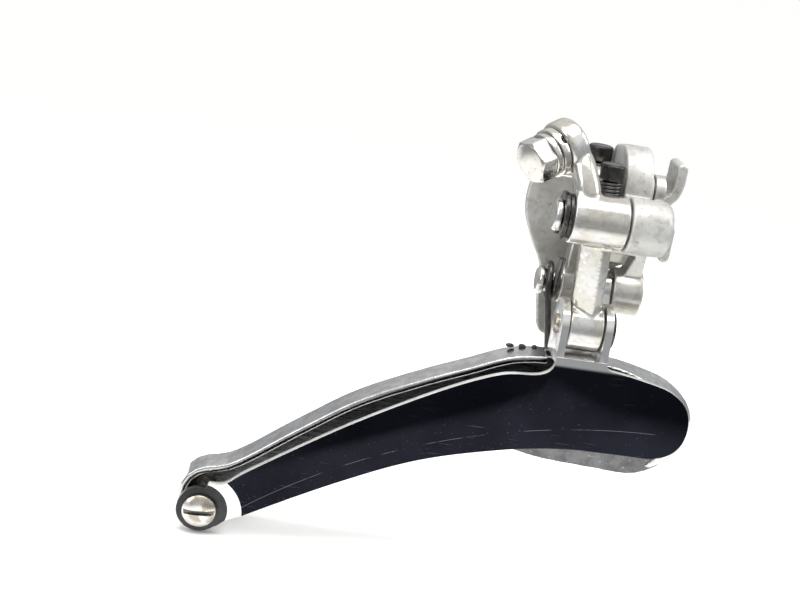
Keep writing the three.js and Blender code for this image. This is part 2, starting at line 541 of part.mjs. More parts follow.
// ---------------------------------------------------------------- cast body
function lobeShape() {
  const inPlate = BACK_PLATE.y0 + 0.8;
  const shape = new THREE.Shape();
  shape.absarc(UPPER_INNER.y, UPPER_INNER.z, LOBE.r, Math.PI * 1.15, Math.PI * 0.5, true);
  shape.lineTo(BACK_PLATE.y0 - 3, UPPER_INNER.z + LOBE.r - 1.2);
  shape.quadraticCurveTo(inPlate, UPPER_INNER.z + 5.4, inPlate, UPPER_INNER.z + 0.4);
  shape.lineTo(inPlate, UPPER_INNER.z - LOBE.r + 0.9);
  shape.lineTo(UPPER_INNER.y, UPPER_INNER.z - LOBE.r + 0.9);
  return shape;
}

function backPlateShape() {
  // Heights are above the upper outer pivot.
  const left = [[-12.6, 1.4], [-13.3, -2.2], [-12.7, -6.7], [-10.4, -12], [-7.7, -17.2], [-7, -24],
    [-5.9, -30.2]];
  const right = [[3, -21.2], [7.5, -15.8], [SADDLE.x1, -12.7]];
  const raised = (points) => flat(points.map(([x, rise]) => [x, UPPER_OUTER.z + rise]));
  const foot = UPPER_OUTER.z - 32.4;
  const shape = new THREE.Shape();
  shape.moveTo(-9.5, UPPER_OUTER.z + SADDLE.top);
  shape.splineThru(raised(left));
  shape.quadraticCurveTo(-5.4, foot, -3, foot);
  shape.quadraticCurveTo(0.6, foot, 1, foot + 4.2);
  shape.splineThru(raised(right));
  shape.lineTo(SADDLE.x1, UPPER_OUTER.z + SADDLE.top);
  return shape;
}

function saddleBlock() {
  const body = block(SADDLE.x0, SADDLE.x1, BACK_PLATE.y0 + 0.5, SADDLE.land, UPPER_OUTER.z + SADDLE.low,
    UPPER_OUTER.z + SADDLE.top);
  return body.subtract(drill(SADDLE.r, vec(SADDLE_MIDDLE, SADDLE_CENTRE, MOUNT.z), DOWN, FINE));
}

function hookWall() {
  const z = UPPER_OUTER.z + HOOK.rise;
  const outside = HOOK.x + HOOK.r;
  const half = HOOK.wall / 2;
  const shape = new THREE.Shape();
  shape.absarc(HOOK.x, z, HOOK.r, HOOK_START, 0, false);
  shape.lineTo(outside, z + HOOK.tip);
  shape.absarc(outside - half, z + HOOK.tip, half, 0, Math.PI, false);
  shape.absarc(HOOK.x, z, HOOK.r - HOOK.wall, 0, HOOK_START, true);
  // A thin wall closes the hollow behind the hook; its top edge dips between the two.
  const web = new THREE.Shape();
  web.absarc(HOOK.x, z, HOOK.r - half, HOOK_START, 0, false);
  web.quadraticCurveTo(HOOK.x + 2.6, z - 0.6, SADDLE.x1 - 3, z + 0.8);
  web.lineTo(SADDLE.x1 - 3, z - HOOK.r + 1);
  return join(plateXZ(shape, HOOK.y0, HOOK.y1, 12), plateXZ(web, HOOK.y1 - 1.6, HOOK.y1 - 0.1, 12));
}

function lowerTab() {
  const x0 = BODY_RIGHT + TAB.shift;
  const x1 = x0 + TAB.width;
  const low = UPPER_OUTER.z + TAB.low;
  const shape = new THREE.Shape();
  shape.moveTo(x0, UPPER_OUTER.z + TAB.top);
  shape.lineTo(x0, low);
  shape.absarc((x0 + x1) / 2, low, TAB.width / 2, Math.PI, 0, false);
  shape.lineTo(x1, UPPER_OUTER.z + TAB.top);
  return plateXZ(shape, TAB.y0, TAB.y1, 8);
}

function bodyBarrel() {
  const length = BODY_BARREL.x1 - BODY_BARREL.x0;
  const round = BODY_BARREL_ROUND;
  const profile = [[0, 0], [BODY_BARREL_R, 0]];
  for (let i = 0; i <= 4; i += 1) {
    const angle = i / 4 * Math.PI / 2;
    profile.push([BODY_BARREL_R - round + round * Math.cos(angle), length - round + round * Math.sin(angle)]);
  }
  profile.push([0, length]);
  return turned(profile, vec(BODY_BARREL.x0, UPPER_OUTER.y, UPPER_OUTER.z), ALONG_X, FINE);
}

function shelf(x1, y0, y1) {
  const top = UPPER_OUTER.z + SHELF.top;
  return block(SHELF_LEFT, x1, y0, y1, top - SHELF.thick, top);
}

function fixedBody() {
  const screwSide = LIMIT.headR + 0.1;
  const z = UPPER_OUTER.z;
  const inRight = BODY_BARREL.x0 + 2;
  const neck = block(BODY_BARREL.x0, LOBE.x1, UPPER_OUTER.y, UPPER_INNER.y, z + NECK.low, z + NECK.top);
  const innerBoss = rodX(LOBE.x1 - 0.5, INNER_EYE_RIGHT.x0 - JOINT_GAP, UPPER_INNER, INNER_EYE_R);
  const frontShelf = shelf(inRight, UPPER_OUTER.y + UPPER_BARREL.r + HEEL_GAP, LIMIT.yFront + screwSide);
  const rearShelf = shelf(inRight, LIMIT.yRear - screwSide, BACK_PLATE.y0 + 1);
  const hookRoot = block(SADDLE.x1 - 1.5, SADDLE.x1 + 2.2, HOOK.y0 + 3.5, SADDLE.land - 1, z - 8.2, z + 1.9);
  const tabRoot = block(BODY_RIGHT, BODY_RIGHT + TAB.shift + 1.5, TAB.y0, SADDLE.land - 1.5,
    z - 5.6, z + TAB.top);
  const screwHole = (y) => turned([[0, -8], [LIMIT.shankR + 0.08, -8], [LIMIT.shankR + 0.08, 12], [0, 12]],
    vec(LIMIT.x, y, z + SHELF.top), DOWN, 24);
  return join(bodyBarrel(), neck, plateYZ(lobeShape(), BODY_BARREL.x0, LOBE.x1, 16), innerBoss, frontShelf,
    rearShelf, plateXZ(backPlateShape(), BACK_PLATE.y0, BACK_PLATE.y1, 8), saddleBlock(), hookWall(),
    hookRoot, tabRoot, lowerTab())
    .subtract(rodX(-THROUGH, BODY_BARREL.x1 - 1.5, UPPER_OUTER, UPPER_PIN_R + PIN_FIT))
    .subtract(boreX(UPPER_INNER, PIN_R + PIN_FIT))
    .subtract(screwHole(LIMIT.yFront)).subtract(screwHole(LIMIT.yRear))
    .subtract(turned([[0, 0], [MOUNT_THREAD_R, 0], [MOUNT_THREAD_R, THROUGH], [0, THROUGH]],
      vec(SADDLE_MIDDLE, BACK_PLATE.y0 - 15, MOUNT.z), ALONG_Y, SEG));
}

const WASHER = { half: 5.5, thick: 1.8 };

function mountingBolt() {
  // M5 socket screw, turned right in: its head holds the curved washer in the saddle.
  const head = { r: 4.2, height: 4, socketR: 2.3, socketDepth: 2.2 };
  const threadR = MOUNT_THREAD_R - 0.15;
  const start = vec(SADDLE_MIDDLE, SADDLE_FLOOR + WASHER.thick + 0.1, MOUNT.z);
  const body = turned([[0, -6], [threadR, -6], [threadR, 0], [head.r, 0], [head.r, head.height - 0.4],
    [head.r - 0.4, head.height], [0, head.height]], start, ALONG_Y, FINE);
  const socket = turned([[0, 0], [head.socketR, 0], [head.socketR, 4], [0, 4]],
    start.clone().add(vec(0, head.height - head.socketDepth, 0)), ALONG_Y, 6);
  return body.subtract(socket);
}

function saddleWasher() {
  const { half, thick } = WASHER;
  const pad = block(SADDLE_MIDDLE - half, SADDLE_MIDDLE + half, SADDLE_FLOOR - 1, SADDLE_FLOOR + thick,
    MOUNT.z - half, MOUNT.z + half);
  const fit = drill(SADDLE.r - 0.15, vec(SADDLE_MIDDLE, SADDLE_CENTRE, MOUNT.z), DOWN, FINE);
  const middle = vec(SADDLE_MIDDLE, SADDLE_FLOOR, MOUNT.z);
  return pad.intersect(fit).subtract(drill(MOUNT_THREAD_R + 0.1, middle, ALONG_Y));
}

// ---------------------------------------------------------------- assembly
const derailleur = new THREE.Group();
derailleur.position.set(-MOUNT.x, -MOUNT.y, -MOUNT.z);

derailleur.add(
  node('fixed_body', fixedBody(), castAlloy),
  node('upper_outer_pin', clippedPin(UPPER_OUTER, UPPER_BARREL.x0 - 3.4, BODY_BARREL.x1 - 1.6, UPPER_PIN_R),
    brightSteel),
  node('upper_outer_clip', eClip(UPPER_OUTER, UPPER_BARREL.x0 - 1.85, UPPER_PIN_R - 0.4, 4.9, 0.8),
    blackSteel),
  node('upper_outer_washer', ring(UPPER_PIN_R + PIN_FIT, 4.6, 0.7,
    vec(UPPER_BARREL.x0 - 0.85, UPPER_OUTER.y, UPPER_OUTER.z), ALONG_X, FINE), blackSteel),
  node('upper_inner_pin', pivotPin(UPPER_INNER, INNER_LEFT.x0 - 1.5, INNER_EYE_RIGHT.x1 + 0.2, PIN_R,
    { r: 3.4, thick: 1.3 }), brightSteel),
  node('mounting_bolt', mountingBolt(), brightSteel),
  node('saddle_washer', saddleWasher(), brightSteel),
  node('limit_screw_high', limitScrew(LIMIT.yFront, LIMIT_TOP.front, LIMIT_DEPTH.front), blackSteel),
  node('limit_spring_high', limitSpring(LIMIT.yFront, LIMIT_TOP.front), blackSteel),
  node('limit_screw_low', limitScrew(LIMIT.yRear, LIMIT_TOP.rear, LIMIT_DEPTH.rear), blackSteel),
  node('limit_spring_low', limitSpring(LIMIT.yRear, LIMIT_TOP.rear), blackSteel),
  node('outer_arm', outerArm(), polishedAlloy),
  node('anchor_washer_grooved', groovedWasher(), brightSteel),
  node('anchor_washer_plain', anchorWasher(1), brightSteel),
  node('anchor_bolt', anchorBolt(), brightSteel),
  node('inner_arm', innerArm(), castAlloy),
  node('return_spring', returnSpring(), blackSteel),
  node('lower_inner_pin', pivotPin(LOWER_INNER, SPRING_X0 - 2.2, INNER_RIGHT.x1 + 0.4, PIN_R,
    { r: 3.0, thick: 1.4 }), brightSteel),
  node('outer_plate', outerPlate(), mirrorSteel),
  node('inner_plate', innerPlate(), mirrorSteel),
  node('rear_bracket', rearBracket(), mirrorSteel),
  node('lower_outer_pin', pivotPin(LOWER_OUTER, BRACKET.x0 - 0.9, BRACKET.x1 + 1.4, LOWER_PIN_R,
    { r: LOWER_PIN_R, thick: 0.8 }), nickel),
  node('lower_outer_clip', eClip(LOWER_OUTER, BRACKET.x1 + 0.2, LOWER_PIN_R + 0.1, 3.8, 0.7), blackSteel),
  node('tail_screw', tailScrew(), nickel),
  node('tail_spacer', tailSpacer(), nickel),
);

export default derailleur;
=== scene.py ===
import json
import math

import bpy
from mathutils import Matrix, Vector


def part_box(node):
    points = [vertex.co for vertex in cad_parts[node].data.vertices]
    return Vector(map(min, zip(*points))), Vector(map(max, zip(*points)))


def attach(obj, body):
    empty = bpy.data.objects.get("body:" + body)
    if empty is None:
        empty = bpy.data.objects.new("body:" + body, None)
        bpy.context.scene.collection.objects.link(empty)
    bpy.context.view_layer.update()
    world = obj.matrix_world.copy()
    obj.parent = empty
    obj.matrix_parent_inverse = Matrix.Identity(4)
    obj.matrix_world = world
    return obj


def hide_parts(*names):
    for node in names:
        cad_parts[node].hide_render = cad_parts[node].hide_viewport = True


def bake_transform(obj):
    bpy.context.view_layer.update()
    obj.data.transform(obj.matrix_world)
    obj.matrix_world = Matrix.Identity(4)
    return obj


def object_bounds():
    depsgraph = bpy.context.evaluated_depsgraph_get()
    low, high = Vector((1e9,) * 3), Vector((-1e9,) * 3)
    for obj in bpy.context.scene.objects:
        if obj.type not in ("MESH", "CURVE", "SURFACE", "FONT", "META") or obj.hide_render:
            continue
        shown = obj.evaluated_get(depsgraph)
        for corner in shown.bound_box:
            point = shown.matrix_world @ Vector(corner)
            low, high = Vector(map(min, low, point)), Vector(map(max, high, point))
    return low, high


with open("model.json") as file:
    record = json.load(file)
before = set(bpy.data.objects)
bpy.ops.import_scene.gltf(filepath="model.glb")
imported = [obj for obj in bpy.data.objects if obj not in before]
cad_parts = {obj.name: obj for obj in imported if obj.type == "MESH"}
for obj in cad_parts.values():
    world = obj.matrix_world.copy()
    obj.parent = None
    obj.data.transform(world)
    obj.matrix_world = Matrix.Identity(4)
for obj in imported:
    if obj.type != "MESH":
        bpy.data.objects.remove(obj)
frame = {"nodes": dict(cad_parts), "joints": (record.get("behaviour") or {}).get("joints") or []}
cad_box = [list(corner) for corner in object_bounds()]


# ---------------------------------------------------------------- camera
# A long lens in front of the drive side, looking slightly down on the cage and rolled a few
# degrees, so that the cage climbs towards its nose.
camera_place = Vector((-0.0549, -0.2910, 0.0596))
camera_forward = Vector((0.085, 0.956, -0.279)).normalized()
camera_tilt = Vector((-0.141, 0.289, 0.946))
camera_right = camera_forward.cross(camera_tilt).normalized()
camera_up = camera_right.cross(camera_forward)

camera_data = bpy.data.cameras.new("camera")
camera_data.lens = 61.8
camera_data.sensor_width = 36.0
camera_data.clip_start = 0.01
camera = bpy.data.objects.new("camera", camera_data)
bpy.context.scene.collection.objects.link(camera)
camera_axes = Matrix((camera_right, camera_up, -camera_forward)).transposed().to_4x4()
camera.matrix_world = Matrix.Translation(camera_place) @ camera_axes
bpy.context.scene.camera = camera


# ---------------------------------------------------------------- shader values
# Every finish below is written as sums and products of textures, so the wrapper for one
# shader value and the method that adds any other node come first.
class Value:
    """One output of a shader node. Arithmetic on it adds Math nodes."""

    def __init__(self, finish, socket):
        self.finish = finish
        self.socket = socket

    def math(self, operation, first, second):
        return self.finish.node("ShaderNodeMath", {"operation": operation}, {0: first, 1: second})

    def __add__(self, other):
        return self.math("ADD", self, other)

    def __radd__(self, other):
        return self.math("ADD", other, self)

    def __sub__(self, other):
        return self.math("SUBTRACT", self, other)

    def __rsub__(self, other):
        return self.math("SUBTRACT", other, self)

    def __mul__(self, other):
        return self.math("MULTIPLY", self, other)

    def __rmul__(self, other):
        return self.math("MULTIPLY", other, self)


class Finish:
    """A surface finish: a material, its Principled shader and the textures that feed it."""

    def __init__(self, name):
        self.material = bpy.data.materials.new(name)
        self.material.use_nodes = True
        self.tree = self.material.node_tree
        self.shader = self.tree.nodes["Principled BSDF"]
        self.place = self.node("ShaderNodeTexCoord", output="Object")

    def node(self, kind, settings=None, values=None, output=0):
        new = self.tree.nodes.new(kind)
        for key, value in (settings or {}).items():
            setattr(new, key, value)
        for key, value in (values or {}).items():
            self.feed(new.inputs[key], value)
        return Value(self, new.outputs[output])

    def feed(self, socket, value):
        if isinstance(value, Value):
            self.tree.links.new(value.socket, socket)
        else:
            socket.default_value = value

    def noise(self, size_mm, detail=3.0, stretch=(1, 1, 1), turn_deg=(0, 0, 0)):
        """Cloudy noise between about 0.3 and 0.7, its lumps size_mm wide before the stretch."""
        per_metre = 1000 / size_mm
        scale = [per_metre / share for share in stretch]
        angles = [math.radians(angle) for angle in turn_deg]
        turned = self.node("ShaderNodeMapping", None,
                           {"Vector": self.place, "Rotation": angles, "Scale": scale})
        return self.node("ShaderNodeTexNoise", None,
                         {"Vector": turned, "Scale": 1.0, "Detail": detail, "Roughness": 0.55})

    def step(self, value, low, high, start=0.0, end=1.0):
        """Goes smoothly from start to end as value goes from low to high."""
        return self.node("ShaderNodeMapRange", {"interpolation_type": "SMOOTHSTEP"},
                         {"Value": value, "From Min": low, "From Max": high,
                          "To Min": start, "To Max": end})

    def blend(self, share, first, second):
        return self.node("ShaderNodeMix", {"data_type": "RGBA"}, {0: share, 6: first, 7: second},
                         output=2)

    def bump(self, height, depth_mm):
        return self.node("ShaderNodeBump", None,
                         {"Height": height, "Strength": 1.0, "Distance": depth_mm / 1000})

    def hairlines(self, turn_deg, amount):
        """Thin straight scratches, a few millimetres long; 1 on a scratch and 0 elsewhere."""
        streaks = self.noise(0.22, 1.0, (40, 1, 1), turn_deg)
        patches = self.noise(6.0, 1.0)
        return self.step(streaks, 0.72 - amount, 0.76 - amount) * self.step(patches, 0.5, 0.62)

    def pointiness_step(self, low, high):
        """1 on convex edges and 0 on flats and in hollows; with low above high it is 1 in hollows,
        where painted shade goes.
        """
        shape = self.node("ShaderNodeNewGeometry", output="Pointiness")
        return self.step(shape, low, high)


def rgb(red, green, blue):
    return (red, green, blue, 1.0)


# ---------------------------------------------------------------- floor and light
# A pale table under soft light from above. Polished metal sees the table close by and a dimmer
# room beyond it, which is what gives chrome its dark and light bands. The camera itself sees
# pale paper all the way back.
floor_drop = 0.0006
floor_top = cad_box[0][2] - floor_drop
bpy.ops.object.select_all(action="DESELECT")
bpy.ops.mesh.primitive_plane_add(size=6.0, location=(0, 0, floor_top))
floor = bpy.context.object
floor.name = "floor"

table = Finish("pale_table")
seen_in_metal = table.node("ShaderNodeLightPath", output="Is Glossy Ray")
spread = table.node("ShaderNodeVectorMath", {"operation": "LENGTH"}, {0: table.place}, "Value")
beyond = table.step(spread, 0.10, 0.19)
seen_directly = table.node("ShaderNodeLightPath", output="Is Camera Ray")
far_away = table.step(spread, 0.12, 0.5)
table.feed(table.shader.inputs["Base Color"], rgb(0.93, 0.93, 0.92))
table.shader.inputs["Roughness"].default_value = 0.8
table.shader.inputs["Specular IOR Level"].default_value = 0.1
room = table.node("ShaderNodeEmission", None, {"Color": rgb(0.93, 0.96, 1.0), "Strength": 0.45})
paper = table.node("ShaderNodeEmission", None, {"Color": rgb(1.0, 1.0, 0.99), "Strength": 1.0})
surface = table.node("ShaderNodeMixShader", None,
                     {0: seen_in_metal * beyond, 1: Value(table, table.shader.outputs[0]), 2: room})
backdrop = table.node("ShaderNodeMixShader", None,
                      {0: seen_directly * far_away, 1: surface, 2: paper})
table.tree.links.new(backdrop.socket, table.tree.nodes["Material Output"].inputs["Surface"])
floor.data.materials.append(table.material)

world = bpy.data.worlds.new("soft_room")
world.use_nodes = True
bpy.context.scene.world = world
sky = world.node_tree
sky_light = sky.nodes["Background"]
sky_direction = sky.nodes.new("ShaderNodeTexCoord")
sky_split = sky.nodes.new("ShaderNodeSeparateXYZ")
sky.links.new(sky_direction.outputs["Generated"], sky_split.inputs[0])
sky_ramp = sky.nodes.new("ShaderNodeValToRGB")
sky.links.new(sky_split.outputs["Z"], sky_ramp.inputs[0])
sky_ramp.color_ramp.elements[0].position = 0.06
sky_ramp.color_ramp.elements[0].color = rgb(0.42, 0.43, 0.45)
sky_ramp.color_ramp.elements[1].position = 0.55
sky_ramp.color_ramp.elements[1].color = rgb(1.0, 1.0, 0.99)
sky_view = sky.nodes.new("ShaderNodeLightPath")
sky_mix = sky.nodes.new("ShaderNodeMix")
sky_mix.data_type = "RGBA"
sky.links.new(sky_view.outputs["Is Camera Ray"], sky_mix.inputs[0])
sky.links.new(sky_ramp.outputs[0], sky_mix.inputs[6])
sky_mix.inputs[7].default_value = rgb(1.05, 1.05, 1.04)
sky.links.new(sky_mix.outputs[2], sky_light.inputs["Color"])
sky_light.inputs["Strength"].default_value = 0.95


def softbox(name, place, aim, width, height, watts):
    lamp = bpy.data.lights.new(name, "AREA")
    lamp.shape = "RECTANGLE"
    lamp.size = width
    lamp.size_y = height
    lamp.energy = watts
    holder = bpy.data.objects.new(name, lamp)
    bpy.context.scene.collection.objects.link(holder)
    towards = Vector(aim) - Vector(place)
    holder.matrix_world = (Matrix.Translation(place)
                           @ towards.to_track_quat("-Z", "Y").to_matrix().to_4x4())


middle = [(low + high) / 2 for low, high in zip(*cad_box)]
softbox("overhead_box", (0.0, -0.15, 0.75), middle, 0.7, 0.5, 7.0)
softbox("left_box", (-0.6, -0.35, 0.35), middle, 0.25, 0.5, 1.6)
softbox("right_box", (0.6, -0.1, 0.4), middle, 0.3, 0.4, 1.6)
bpy.context.scene.view_settings.view_transform = "Standard"


# ---------------------------------------------------------------- fixed body
# The piece that bolts to the frame: a cast alloy body with a barrel for the outer arm, a lobe
# for the inner arm and a plate at the back. It is tumbled, so its edges are soft and its skin
# is matt with small pits.
def only(piece):
    """Selects one piece and makes it active."""
    bpy.ops.object.select_all(action="DESELECT")
    piece.select_set(True)
    bpy.context.view_layer.objects.active = piece


def copy_of(node, name):
    """A merged copy of a machined shape, ready to be softened or bevelled."""
    piece = bpy.data.objects.new(name, frame["nodes"][node].data.copy())
    bpy.context.scene.collection.objects.link(piece)
    piece.data.materials.clear()
    only(piece)
    bpy.ops.object.mode_set(mode="EDIT")
    bpy.ops.mesh.select_all(action="SELECT")
    bpy.ops.mesh.remove_doubles(threshold=0.000002)
    bpy.ops.mesh.dissolve_limited(angle_limit=math.radians(0.4))
    bpy.ops.object.mode_set(mode="OBJECT")
    return piece


def apply_modifier(piece, kind, **settings):
    only(piece)
    modifier = piece.modifiers.new(kind.lower(), kind)
    for key, value in settings.items():
        setattr(modifier, key, value)
    bpy.ops.object.modifier_apply(modifier=modifier.name)


def cast(node, name, voxel_mm, passes):
    """Rounds every edge and corner of a shape, as casting and tumbling do."""
    piece = copy_of(node, name)
    apply_modifier(piece, "REMESH", mode="VOXEL", voxel_size=voxel_mm / 1000)
    apply_modifier(piece, "SMOOTH", factor=0.5, iterations=passes)
    bpy.ops.object.shade_smooth()
    return piece


def fit(piece, node, body, material):
    """Puts a finished piece in a node's place."""
    piece.data.materials.append(material)
    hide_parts(node)
    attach(piece, body)


def cast_alloy():
    skin = Finish("cast_alloy")
    cloud = skin.noise(7.0, 4.0)
    grain = skin.noise(0.35, 3.0)
    pits = skin.step(skin.noise(0.9, 2.0), 0.36, 0.28)
    edge = skin.pointiness_step(0.51, 0.56)
    # painted shade, with some dirt: the hollows are darkened towards dark grey-brown, as the pits
    # and blotches are
    shade_and_grime = skin.pointiness_step(0.49, 0.44)
    base = skin.blend(skin.step(cloud, 0.35, 0.65), rgb(0.34, 0.33, 0.305), rgb(0.48, 0.48, 0.465))
    rubbed = skin.blend(edge * 0.7, base, rgb(0.70, 0.70, 0.69))
    blotch = skin.step(skin.noise(1.6, 5.0), 0.52, 0.66)
    dirt_and_shade = skin.blend(shade_and_grime * 0.6 + pits * 0.6 + blotch * 0.3, rubbed, rgb(0.16, 0.15, 0.13))
    skin.feed(skin.shader.inputs["Base Color"], dirt_and_shade)
    skin.shader.inputs["Metallic"].default_value = 0.4
    skin.feed(skin.shader.inputs["Roughness"], 0.46 - edge * 0.14 + (grain - 0.5) * 0.2)
    skin.feed(skin.shader.inputs["Normal"], skin.bump(grain - pits * 0.8, 0.035))
    return skin.material


body_alloy = cast_alloy()
body_casting = cast("fixed_body", "body_casting", 0.30, 9)
fit(body_casting, "fixed_body", "body", body_alloy)


# ---------------------------------------------------------------- pins, clips, screws, washers
# Turned steel pins hold the arms, and black clips sit in the grooves of the two outer ones. The
# limit screws, the cable anchor and the tail's screw and spacer are made here as well. Each has
# small rounds on its edges, and the bright ones have turning marks.
def bright_steel(name, tone, roughness):
    steel = Finish(name)
    cloud = steel.noise(2.2, 3.0)
    marks = steel.noise(0.16, 2.0, (1, 9, 9))
    tarnish = steel.step(steel.noise(1.1, 4.0), 0.56, 0.7)
    edge = steel.pointiness_step(0.52, 0.6)
    base = steel.blend(steel.step(cloud, 0.35, 0.65), rgb(*[part * 0.86 for part in tone]),
                       rgb(*tone))
    aged = steel.blend(tarnish * 0.5, base, rgb(0.26, 0.23, 0.19))
    steel.feed(steel.shader.inputs["Base Color"], steel.blend(edge * 0.5, aged, rgb(0.9, 0.9, 0.9)))
    steel.shader.inputs["Metallic"].default_value = 1.0
    steel.feed(steel.shader.inputs["Roughness"], roughness + (marks - 0.5) * 0.16 + tarnish * 0.15)
    steel.feed(steel.shader.inputs["Normal"], steel.bump(marks, 0.004))
    return steel.material


def black_steel():
    steel = Finish("blackened_steel")
    cloud = steel.noise(1.6, 4.0)
    edge = steel.pointiness_step(0.52, 0.58)
    base = steel.blend(steel.step(cloud, 0.4, 0.7), rgb(0.012, 0.012, 0.014),
                       rgb(0.05, 0.046, 0.042))
    steel.feed(steel.shader.inputs["Base Color"],
               steel.blend(edge * 0.5, base, rgb(0.22, 0.21, 0.2)))
    steel.shader.inputs["Metallic"].default_value = 0.7
    steel.feed(steel.shader.inputs["Roughness"], 0.22 + (cloud - 0.5) * 0.24)
    steel.feed(steel.shader.inputs["Normal"], steel.bump(cloud, 0.01))
    return steel.material


def machined(node, name, bevel_mm, angle_deg=35):
    """A turned or stamped piece: its edges get a small round and its curves are shaded smooth."""
    piece = copy_of(node, name)
    apply_modifier(piece, "BEVEL", width=bevel_mm / 1000, segments=3, limit_method="ANGLE",
                   angle_limit=math.radians(angle_deg))
    bpy.ops.object.shade_smooth_by_angle(angle=math.radians(28))
    return piece


pin_steel = bright_steel("pin_steel", (0.68, 0.66, 0.62), 0.24)
bolt_steel = bright_steel("bolt_steel", (0.62, 0.60, 0.56), 0.22)
nickel_steel = bright_steel("nickel_steel", (0.40, 0.36, 0.30), 0.28)
clip_steel = black_steel()

for node, bevel, body, slot, material in (
        ("upper_outer_pin", 0.25, "body", "bright_steel", pin_steel),
        ("upper_outer_clip", 0.12, "body", "black_steel", clip_steel),
        ("upper_outer_washer", 0.12, "body", "black_steel", clip_steel),
        ("upper_inner_pin", 0.25, "body", "bright_steel", pin_steel),
        ("mounting_bolt", 0.2, "body", "bright_steel", bolt_steel),
        ("saddle_washer", 0.2, "body", "bright_steel", bolt_steel),
        ("lower_inner_pin", 0.3, "inner_arm", "bright_steel", pin_steel),
        ("lower_outer_pin", 0.25, "cage", "nickel_steel", nickel_steel),
        ("lower_outer_clip", 0.12, "cage", "black_steel", clip_steel),
        ("limit_screw_high", 0.18, "high_limit_screw", "black_steel", clip_steel),
        ("limit_screw_low", 0.18, "low_limit_screw", "black_steel", clip_steel),
        ("anchor_washer_grooved", 0.2, "outer_arm", "bright_steel", bolt_steel),
        ("anchor_washer_plain", 0.2, "outer_arm", "bright_steel", bolt_steel),
        ("anchor_bolt", 0.25, "outer_arm", "bright_steel", bolt_steel),
        ("tail_screw", 0.12, "cage", "nickel_steel", nickel_steel),
        ("tail_spacer", 0.2, "cage", "nickel_steel", nickel_steel)):
    fit(machined(node, node + "_finished", bevel), node, body, material)


# ---------------------------------------------------------------- limit screw springs
# A short spring of black wire under each limit screw head keeps the screw from turning by
# itself. It is wound from round wire with its ends closed.
def wound_spring(node, name, turns, wire_mm):
    low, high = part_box(node)
    centre = (low + high) / 2
    wire = wire_mm / 1000
    reach = (high.x - low.x) / 2 - wire
    rise = high.z - low.z - 2 * wire
    bpy.ops.object.select_all(action="DESELECT")
    bpy.ops.mesh.primitive_circle_add(vertices=12, radius=wire, location=(reach, 0, 0),
                                      rotation=(math.pi / 2, 0, 0))
    piece = bpy.context.object
    piece.name = name
    bpy.ops.object.transform_apply(location=True, rotation=True, scale=True)
    apply_modifier(piece, "SCREW", axis="Z", angle=2 * math.pi * turns, screw_offset=rise,
                   steps=28 * turns, render_steps=28 * turns)
    bpy.ops.object.mode_set(mode="EDIT")
    bpy.ops.mesh.select_all(action="DESELECT")
    bpy.ops.mesh.select_non_manifold()
    bpy.ops.mesh.fill()
    bpy.ops.mesh.select_all(action="SELECT")
    bpy.ops.mesh.remove_doubles(threshold=0.000001)
    bpy.ops.mesh.normals_make_consistent(inside=False)
    bpy.ops.object.mode_set(mode="OBJECT")
    bpy.ops.object.shade_smooth()
    piece.location = (centre.x, centre.y, low.z + wire)
    bpy.ops.object.transform_apply(location=True, rotation=True, scale=True)
    return piece


for node in ("limit_spring_high", "limit_spring_low"):
    fit(wound_spring(node, node + "_wound", 4, 0.34), node, "body", clip_steel)


# ---------------------------------------------------------------- arms
# Two cast alloy arms. The outer one, with the cable clamp's lever, is polished by hand and
# shows soft waves and fine scratches; the inner one is left duller.
def polished_alloy(name, tone, roughness):
    metal = Finish(name)
    cloud = metal.noise(5.0, 4.0)
    wave = metal.noise(2.4, 1.0)
    lines = metal.hairlines((0, 8, 0), 0.04) + metal.hairlines((20, 60, 10), 0.02)
    edge = metal.pointiness_step(0.51, 0.56)
    # painted shade: the hollows are darkened towards brown-grey
    hollow = metal.pointiness_step(0.48, 0.42)
    warm = rgb(tone[0] * 0.90, tone[1] * 0.875, tone[2] * 0.81)
    mottle = metal.step(metal.noise(1.3, 5.0), 0.50, 0.66)
    even = metal.blend(metal.step(cloud, 0.42, 0.60), warm, rgb(*tone))
    base = metal.blend(mottle * 0.35, even, rgb(*[part * 0.55 for part in tone]))
    rubbed = metal.blend(edge * 0.5, base, rgb(0.95, 0.95, 0.94))
    shade_in_hollows = metal.blend(hollow * 0.6, rubbed, rgb(0.33, 0.31, 0.27))
    metal.feed(metal.shader.inputs["Base Color"],
               metal.blend(lines * 0.35, shade_in_hollows, rgb(0.5, 0.5, 0.5)))
    metal.shader.inputs["Metallic"].default_value = 0.85
    metal.feed(metal.shader.inputs["Roughness"], roughness + (cloud - 0.5) * 0.18 + lines * 0.12)
    metal.feed(metal.shader.inputs["Normal"], metal.bump(wave - lines * 0.04, 0.03))
    return metal.material


arm_alloy = polished_alloy("polished_alloy", (0.58, 0.575, 0.56), 0.20)
inner_alloy = polished_alloy("satin_alloy", (0.56, 0.55, 0.52), 0.3)
fit(cast("outer_arm", "outer_arm_casting", 0.17, 36), "outer_arm", "outer_arm",
    arm_alloy)
fit(cast("inner_arm", "inner_arm_casting", 0.22, 5), "inner_arm", "inner_arm",
    inner_alloy)


